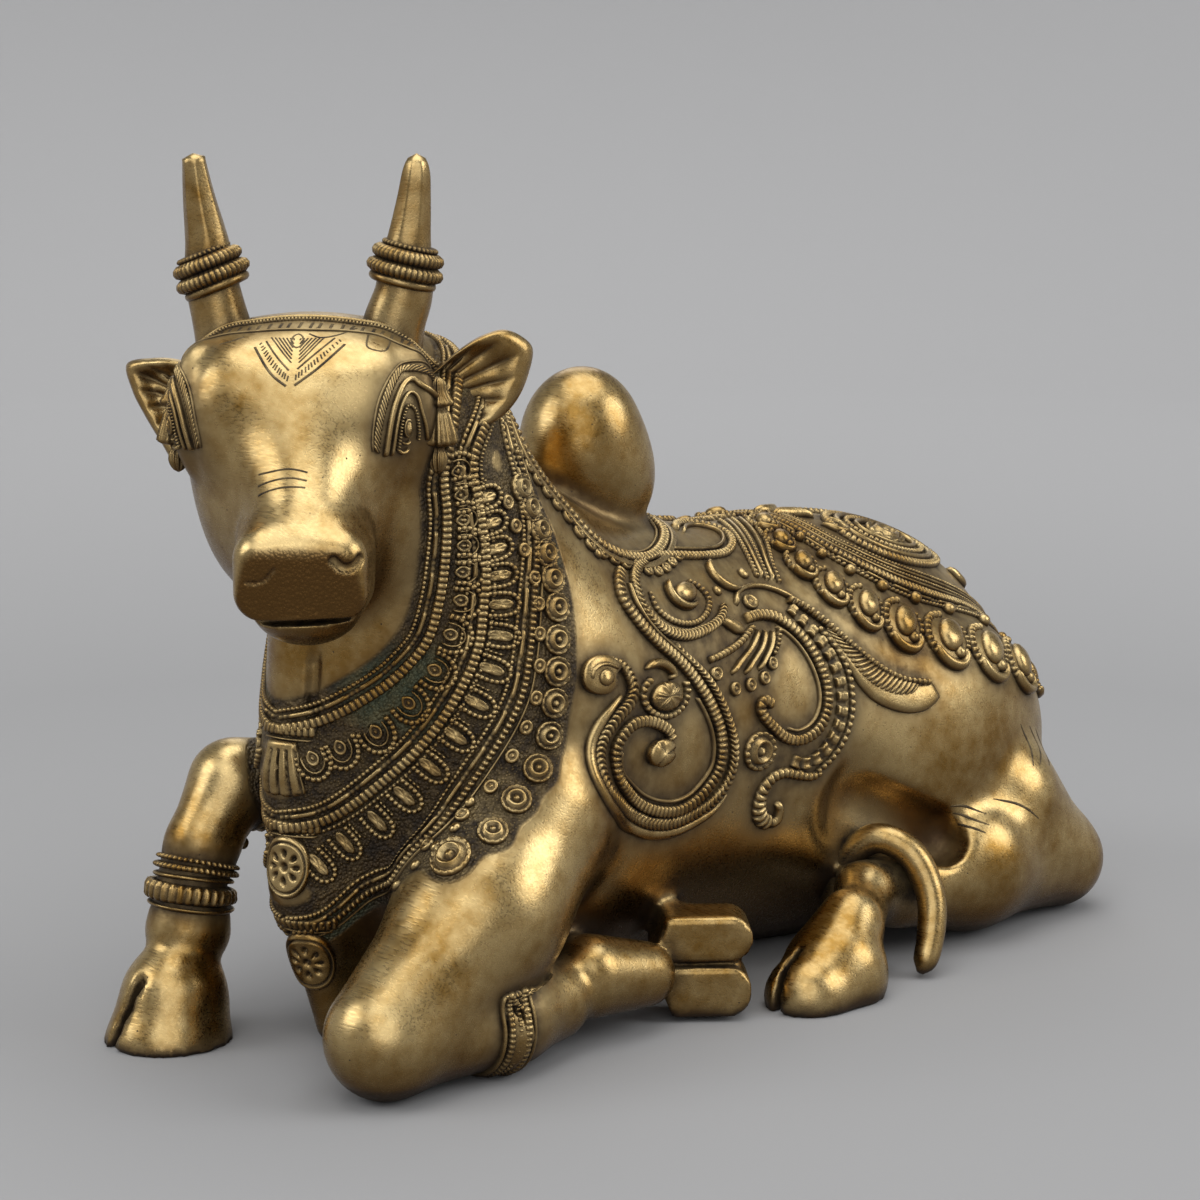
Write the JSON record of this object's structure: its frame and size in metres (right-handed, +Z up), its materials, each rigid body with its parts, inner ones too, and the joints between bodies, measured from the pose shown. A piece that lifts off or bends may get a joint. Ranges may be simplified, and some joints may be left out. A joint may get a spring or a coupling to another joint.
{
  "type": "nandi bull figure",
  "caption": "Cast brass bull lying with one foreleg raised, head turned, dressed in a collar, flank scrolls and a rump cloth.",
  "frame": {"origin": "middle of the bounding box, at the level of the underside that the figure rests on", "axes": "+Z up, -Y the way the bull's body faces, +X its left flank"},
  "size_m": [0.1792, 0.36, 0.2585],
  "materials": {
    "brass": "satin, aged, dark in the carving"
  },
  "bodies": {
    "root": {"nandi_bull": "brass"}
  },
  "joints": []
}
